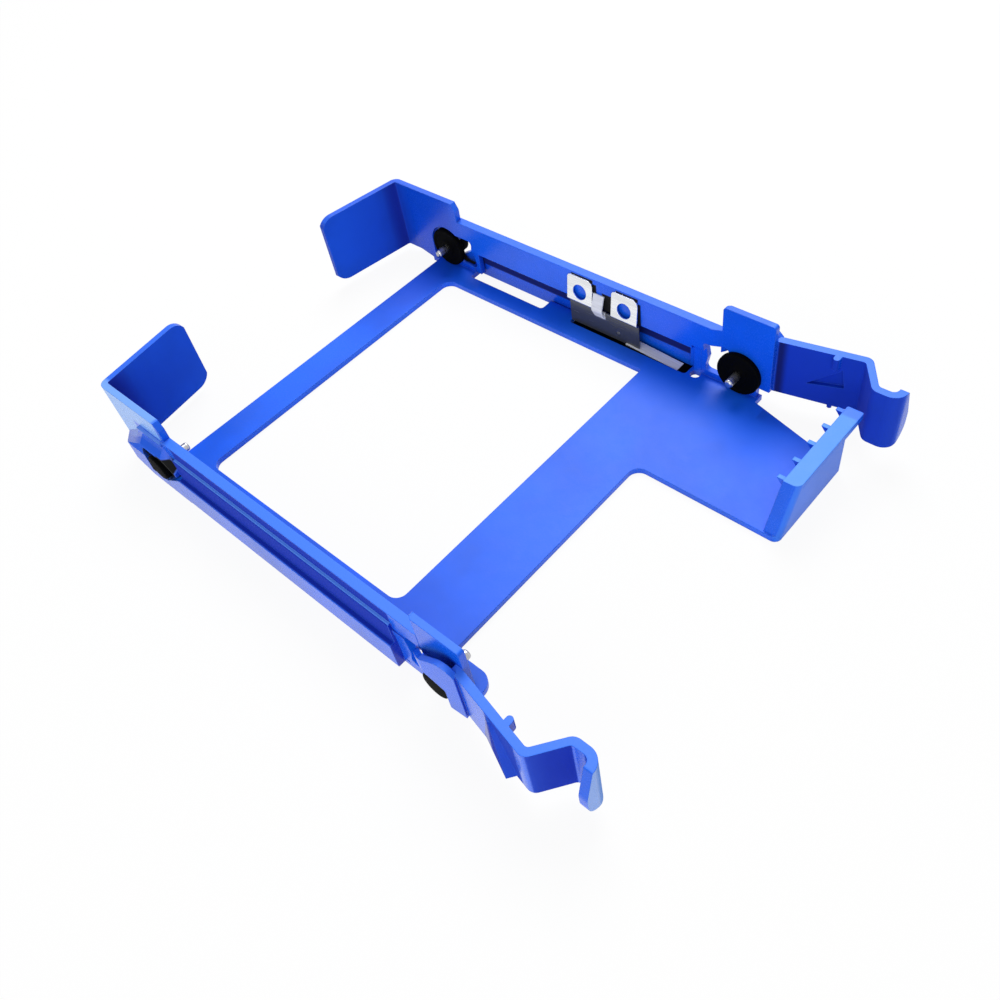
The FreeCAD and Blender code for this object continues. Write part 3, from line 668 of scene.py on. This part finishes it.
def rubber_material(finish):
    """Black rubber: soft grain, greyer along its edges and where dust has settled."""
    made, tree, surface = new_material("Black rubber", {"IOR": 1.45, "Specular IOR Level": 0.04})
    edges = rounded_edges(tree, finish.rubber_edge)
    grain = surface_grain(tree, {"Scale": 1800.0, "Depth": 0.3, "Normal": edges.outputs["Normal"]})
    settled = held(tree, ramp(tree, grain.outputs["Mask"], *DUST_RANGE), "settled")
    share = either(tree, settled, edges.outputs["Mask"])
    body = mix(tree, share, colour(finish.rubber), colour(finish.dust))
    rough = ramp(tree, grain.outputs["Mask"], *POLISH_RANGE, *RUBBER_ROUGH)
    tree.links.new(body, surface.inputs["Base Color"])
    tree.links.new(rough, surface.inputs["Roughness"])
    tree.links.new(grain.outputs["Normal"], surface.inputs["Normal"])
    return made


def pin_material(finish):
    """Turned steel: fine tool rings along the pin and a slightly uneven polish."""
    made, tree, surface = new_material("Turned steel", {"Metallic": 1.0})
    grain = surface_grain(tree, {"Scale": 900.0, "Depth": 0.25, "Stretch": (0.2, 6.0, 0.2)})
    tone = ramp(tree, grain.outputs["Mask"], *TONE_RANGE)
    steel = mix(tree, tone, colour(finish.pin, PIN_DULL), colour(finish.pin))
    rough = ramp(tree, grain.outputs["Mask"], *POLISH_RANGE, *PIN_ROUGH)
    tree.links.new(steel, surface.inputs["Base Color"])
    tree.links.new(rough, surface.inputs["Roughness"])
    tree.links.new(grain.outputs["Normal"], surface.inputs["Normal"])
    return made


def clip_material(finish):
    """Rolled spring steel: long rolling marks, painted dark reflection on the lower plate, a matt pale leg
    and tongue.
    """
    made, tree, surface = new_material("Rolled spring steel", {})
    place = split(tree, add(tree, "ShaderNodeTexCoord").outputs["Object"])
    facing = split(tree, add(tree, "ShaderNodeNewGeometry").outputs["Normal"])
    edges = rounded_edges(tree, finish.clip_edge)
    grain = surface_grain(
        tree, {"Scale": 1500.0, "Depth": 0.15, "Stretch": (0.06, 1.0, 1.0), "Normal": edges.outputs["Normal"]}
    )
    tone = ramp(tree, grain.outputs["Mask"], *TONE_RANGE)
    sheet = mix(tree, tone, colour(finish.clip, CLIP_DULL), colour(finish.clip))
    leg = both(tree, ramp(tree, facing["Z"], *LEG_LEVEL), ramp(tree, place["Z"], *LEG_TOP))
    aside = maths(tree, "ABSOLUTE", place["X"], 0.0)
    tongue = both(tree, ramp(tree, aside, *TONGUE_ASIDE), ramp(tree, place["Z"], *TONGUE_FOOT))
    plain = either(tree, leg, tongue)
    # Painted dark reflection on the lower plate, kept off the leg and the tongue.
    scale = both(tree, ramp(tree, place["Z"], *DARK_REFLECTION_TOP), maths(tree, "SUBTRACT", 1.0, plain))
    matt = either(tree, plain, held(tree, scale, "scale"))
    rough = ramp(tree, grain.outputs["Mask"], *POLISH_RANGE, *CLIP_ROUGH)
    tree.links.new(mix(tree, scale, sheet, colour(finish.scale)), surface.inputs["Base Color"])
    tree.links.new(ramp(tree, matt, 0.0, 1.0, 1.0, 0.0), surface.inputs["Metallic"])
    tree.links.new(rough, surface.inputs["Roughness"])
    tree.links.new(grain.outputs["Normal"], surface.inputs["Normal"])
    return made


def material(name, make, finish):
    """Material by name, built the first time it is asked for."""
    return bpy.data.materials.get(name) or make(finish)


def dress(name, finish_material):
    """Give a solid of the frame its finish."""
    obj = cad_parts[name]
    obj.data.materials.clear()
    obj.data.materials.append(finish_material)


def rounded(corners, steps):
    """Profile with rounded corners: near each corner the point follows a parabola that leaves one side and
    joins the next at the corner's own distance, (1-t)^2 times the start plus 2t(1-t) times the corner plus
    t^2 times the end."""
    corners = np.asarray(corners, float)
    spots, reach = corners[:, :2], corners[:, 2:]
    back = np.roll(spots, 1, 0) - spots
    ahead = np.roll(spots, -1, 0) - spots
    back /= np.linalg.norm(back, axis=1, keepdims=True)
    ahead /= np.linalg.norm(ahead, axis=1, keepdims=True)
    t = np.linspace(0.0, 1.0, steps)[None, :, None]
    start = (spots + back * reach)[:, None]
    end = (spots + ahead * reach)[:, None]
    curve = (1 - t) ** 2 * start + 2 * t * (1 - t) * spots[:, None] + t ** 2 * end
    return curve.reshape(-1, 2)


def new_object(name, mesh):
    """Object of a mesh, put into the scene."""
    obj = bpy.data.objects.new(name, mesh)
    bpy.context.scene.collection.objects.link(obj)
    return obj


def grid_piece(name, points):
    """Mesh of a grid of points: each row is a closed ring, joined to the next row by four-sided faces."""
    rows, columns = points.shape[:2]
    index = np.arange(rows * columns).reshape(rows, columns)
    upper = index[:-1]
    lower = index[1:]
    quads = np.stack([upper, np.roll(upper, -1, 1), np.roll(lower, -1, 1), lower], axis=-1).reshape(-1, 4)
    mesh = bpy.data.meshes.new(name)
    mesh.from_pydata(points.reshape(-1, 3).tolist(), [], quads.tolist())
    work = bmesh.new()
    work.from_mesh(mesh)
    bmesh.ops.remove_doubles(work, verts=work.verts, dist=WELD)
    bmesh.ops.recalc_face_normals(work, faces=work.faces)
    work.to_mesh(mesh)
    work.free()
    mesh.polygons.foreach_set("use_smooth", np.ones(len(mesh.polygons), bool))
    return new_object(name, mesh)


def turned(name, profile, centre, side, spokes):
    """Surface of revolution about the pin's axis: x and z are the radius times the cosine and sine of the
    angle, y is the distance along the axis, out to the given side."""
    angle = np.linspace(0.0, 2 * math.pi, spokes, endpoint=False)
    radius = profile[:, :1]
    x = centre.x + radius * np.cos(angle)
    z = centre.z + radius * np.sin(angle)
    y = np.broadcast_to(side * profile[:, 1:], x.shape)
    return grid_piece(name, np.stack([x, y, z], axis=-1))


def dome(name, middle, radius, rise):
    """Shallow round dome that bulges towards -y: x and z are the share t of the radius times the cosine and
    sine of the angle, y stands out by 1 - t^2 of the rise."""
    t = np.linspace(0.0, 1.0, DIMPLE_RINGS)[:, None]
    angle = np.linspace(0.0, 2 * math.pi, DIMPLE_SPOKES, endpoint=False)
    x = middle[0] + radius * t * np.cos(angle)
    z = middle[2] + radius * t * np.sin(angle)
    y = np.broadcast_to(middle[1] - rise * (1 - t ** 2), x.shape)
    return grid_piece(name, np.stack([x, y, z], axis=-1))


def slab(name, low, high, side=1.0):
    """Flat-sided block: its eight corners take every choice between the low and the high value of each axis,
    with y carried to the given side."""
    flip = np.array([1.0, side, 1.0])
    ends = np.sort(np.stack([low * flip, high * flip]), axis=0)
    pick = np.indices((2, 2, 2)).reshape(3, -1).T
    corners = np.where(pick == 1, ends[1], ends[0])
    faces = [(0, 1, 3, 2), (4, 6, 7, 5), (0, 4, 5, 1), (2, 3, 7, 6), (0, 2, 6, 4), (1, 5, 7, 3)]
    mesh = bpy.data.meshes.new(name)
    mesh.from_pydata(corners.tolist(), [], faces)
    return new_object(name, mesh)


def fit(obj, finish_material):
    """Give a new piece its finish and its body."""
    obj.data.materials.append(finish_material)
    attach(obj, "root")


def fit_turned(obj, node, finish_material):
    """Fit a turned piece with even shading, in place of the solid that it stands for."""
    even = obj.modifiers.new("Even shading", "WEIGHTED_NORMAL")
    even.keep_sharp = False
    fit(obj, finish_material)
    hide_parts(node)


def stations():
    """Side, end and the sign of Y for each of the four isolators."""
    return [(side, end, sign) for side, sign in SIDES.items() for end in ENDS]


class CADDY_OT_moulding(bpy.types.Operator):
    """Give the blue moulding its finish and the gussets between its guides and blocks"""

    bl_idname = "caddy.moulding"
    bl_label = "Moulding"

    def execute(self, context):
        blue = material("Blue moulded plastic", plastic_material, context.scene.caddy_finish)
        dress("caddy_frame", blue)
        for side, sign in SIDES.items():
            fit(slab("gusset_" + side, *GUSSET, sign), blue)
        return {"FINISHED"}


class CADDY_OT_isolators(bpy.types.Operator):
    """Make the four rubber isolators"""

    bl_idname = "caddy.isolators"
    bl_label = "Isolators"

    def execute(self, context):
        sizes = context.scene.caddy_turned
        rubber = material("Black rubber", rubber_material, context.scene.caddy_finish)
        profile = rounded(self.corners(sizes), ISOLATOR_STEPS)
        for side, end, sign in stations():
            node = "grommet_" + side + "_" + end
            low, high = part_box(node)
            piece = turned("isolator_" + side + "_" + end, profile, (low + high) / 2, sign, sizes.spokes)
            fit_turned(piece, node, rubber)
        return {"FINISHED"}

    def corners(self, sizes):
        """Corners of the section: radius, distance along the axis, and the length that the rounding takes."""
        inner = FLANGE_LOW.y
        outer = FLANGE_HIGH.y
        step = outer - sizes.button_thick
        seat = inner + sizes.flange_thick
        collar = sizes.shank * COLLAR
        floor = inner + sizes.groove
        return [
            (0.0, PIN_HIGH.y, 0.0),
            (sizes.shank, PIN_HIGH.y, ROUND_FINE),
            (sizes.shank, inner, ROUND_FINE),
            (collar, inner, ROUND_SMALL),
            (collar + sizes.groove, floor, ROUND_SMALL),
            (sizes.flange * RING[0], floor, ROUND_SOFT),
            (sizes.flange * RING[1], inner, ROUND_SMALL),
            (sizes.flange, inner, ROUND_FULL),
            (sizes.flange, seat, ROUND_SOFT),
            (sizes.neck, seat, ROUND_SMALL),
            (sizes.neck, step, ROUND_SMALL),
            (sizes.button, step, ROUND_SOFT),
            (sizes.button, outer, ROUND_FULL),
            (0.0, outer, 0.0),
        ]


class CADDY_OT_pins(bpy.types.Operator):
    """Make the four steel pins"""

    bl_idname = "caddy.pins"
    bl_label = "Pins"

    def execute(self, context):
        sizes = context.scene.caddy_turned
        steel = material("Turned steel", pin_material, context.scene.caddy_finish)
        corners = [
            (0.0, PIN_LOW.y, 0.0),
            (sizes.shank, PIN_LOW.y, sizes.tip),
            (sizes.shank, PIN_HIGH.y, ROUND_FINE),
            (0.0, PIN_HIGH.y, 0.0),
        ]
        profile = rounded(corners, PIN_STEPS)
        for side, end, sign in stations():
            node = "pin_" + side + "_" + end
            low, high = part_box(node)
            piece = turned("steel_pin_" + side + "_" + end, profile, (low + high) / 2, sign, sizes.spokes)
            fit_turned(piece, node, steel)
        return {"FINISHED"}


class CADDY_OT_clip(bpy.types.Operator):
    """Give the spring clip its finish, its locating dimple and the black sheet of painted shadow below it"""

    bl_idname = "caddy.clip"
    bl_label = "Spring clip"

    def execute(self, context):
        radius = context.scene.caddy_turned.dimple
        finish = context.scene.caddy_finish
        steel = material("Rolled spring steel", clip_material, finish)
        dress("ground_clip", steel)
        fit(dome("clip_dimple", DIMPLE_MIDDLE, radius, DIMPLE_RISE * radius), steel)
        # A sheet in black rubber fills the slot below the clip as painted shadow.
        rubber = material("Black rubber", rubber_material, finish)
        fit(slab("shadow_sheet_under_clip", *SHADOW_SHEET), rubber)
        return {"FINISHED"}


class CADDY_OT_stage(bpy.types.Operator):
    """Set the camera, the floor and the light"""

    bl_idname = "caddy.stage"
    bl_label = "Stage"

    def execute(self, context):
        stage = context.scene.caddy_stage
        context.scene.view_settings.view_transform = "Standard"
        self.camera(context.scene, stage)
        self.floor(stage)
        self.surroundings(context.scene, stage)
        self.soft_light(context.scene, "Key", stage.key_place, stage.key_size, stage.key)
        self.soft_light(context.scene, "Front", stage.front_place, stage.front_size, stage.front)
        return {"FINISHED"}

    def camera(self, scene, stage):
        """Camera at the eye, aimed at the floor and rolled about its view."""
        data = bpy.data.cameras.new("Camera")
        data.lens = stage.lens
        data.sensor_width = 36.0
        data.clip_start = 0.01
        made = bpy.data.objects.new("Camera", data)
        scene.collection.objects.link(made)
        ahead = (Vector(stage.aim) - Vector(stage.eye)).normalized()
        right = ahead.cross(Vector((0, 0, 1))).normalized()
        level = Matrix((right, right.cross(ahead), -ahead)).transposed()
        turn = level @ Matrix.Rotation(stage.roll, 3, "Z")
        made.matrix_world = Matrix.Translation(Vector(stage.eye)) @ turn.to_4x4()
        scene.camera = made

    def seen(self, tree):
        """Mask of the rays that see or mirror a surface, as against those that carry light to matt faces."""
        rays = add(tree, "ShaderNodeLightPath").outputs
        return either(tree, rays["Is Camera Ray"], rays["Is Glossy Ray"], rays["Is Transmission Ray"])

    def floor(self, stage):
        """Pale floor that keeps a soft shadow and shows white elsewhere where it is seen or mirrored."""
        made = bpy.data.materials.new("Pale floor")
        made.use_nodes = True
        tree = made.node_tree
        tree.nodes.clear()
        matt = add(tree, "ShaderNodeBsdfDiffuse", None, {"Color": (0.9, 0.9, 0.9, 1.0)})
        white = add(tree, "ShaderNodeEmission", None, {"Color": (1.0, 1.0, 1.0, 1.0), "Strength": 1.0})
        share = maths(tree, "MULTIPLY", self.seen(tree), stage.white)
        blend = add(tree, "ShaderNodeMixShader", None, {0: share, 1: matt.outputs[0], 2: white.outputs[0]})
        end = add(tree, "ShaderNodeOutputMaterial")
        tree.links.new(blend.outputs[0], end.inputs["Surface"])
        signs = ((-1, -1), (1, -1), (1, 1), (-1, 1))
        corners = [(x * FLOOR_HALF, y * FLOOR_HALF, -FLOOR_DROP) for x, y in signs]
        mesh = bpy.data.meshes.new("Floor")
        mesh.from_pydata(corners, [], [(0, 1, 2, 3)])
        mesh.materials.append(made)
        new_object("Floor", mesh)

    def surroundings(self, scene, stage):
        """White surroundings: full white where they are seen or mirrored, weaker as light on matt faces."""
        world = bpy.data.worlds.new("White surroundings")
        world.use_nodes = True
        tree = world.node_tree
        tree.nodes.clear()
        strength = ramp(tree, self.seen(tree), 0.0, 1.0, stage.fill, 1.0)
        back = add(tree, "ShaderNodeBackground", None, {"Color": (1.0, 1.0, 1.0, 1.0), "Strength": strength})
        end = add(tree, "ShaderNodeOutputWorld")
        tree.links.new(back.outputs[0], end.inputs["Surface"])
        scene.world = world

    def soft_light(self, scene, name, place, size, power):
        """Square soft light at a place, turned to the middle of the tray."""
        data = bpy.data.lights.new(name, "AREA")
        data.size = size
        data.energy = power
        made = bpy.data.objects.new(name, data)
        made.location = place
        made.rotation_euler = Vector(place).to_track_quat("Z", "Y").to_euler()
        scene.collection.objects.link(made)


class CADDY_PT_panel(bpy.types.Panel):
    """Pieces and settings of the caddy"""

    bl_idname = "CADDY_PT_panel"
    bl_label = "Hard Drive Caddy"
    bl_space_type = "VIEW_3D"
    bl_region_type = "UI"
    bl_category = "Caddy"

    def draw(self, context):
        for operator in OPERATORS:
            self.layout.operator(operator.bl_idname)
        for group in (context.scene.caddy_finish, context.scene.caddy_turned, context.scene.caddy_stage):
            box = self.layout.box()
            for name in group.__annotations__:
                box.prop(group, name)


OPERATORS = (CADDY_OT_moulding, CADDY_OT_isolators, CADDY_OT_pins, CADDY_OT_clip, CADDY_OT_stage)
SETTINGS = (("caddy_finish", CaddyFinish), ("caddy_turned", CaddyTurned), ("caddy_stage", CaddyStage))


def register():
    """Add the classes and the settings."""
    for name, group in SETTINGS:
        bpy.utils.register_class(group)
        setattr(bpy.types.Scene, name, PointerProperty(type=group))
    for item in OPERATORS + (CADDY_PT_panel,):
        bpy.utils.register_class(item)


def unregister():
    """Take the classes and the settings away."""
    for item in (CADDY_PT_panel,) + OPERATORS[::-1]:
        bpy.utils.unregister_class(item)
    for name, group in SETTINGS[::-1]:
        delattr(bpy.types.Scene, name)
        bpy.utils.unregister_class(group)


def main():
    """Make every piece and the stage."""
    register()
    bpy.ops.caddy.moulding()
    bpy.ops.caddy.isolators()
    bpy.ops.caddy.pins()
    bpy.ops.caddy.clip()
    bpy.ops.caddy.stage()
    bpy.context.view_layer.update()


if __name__ == "__main__":
    main()
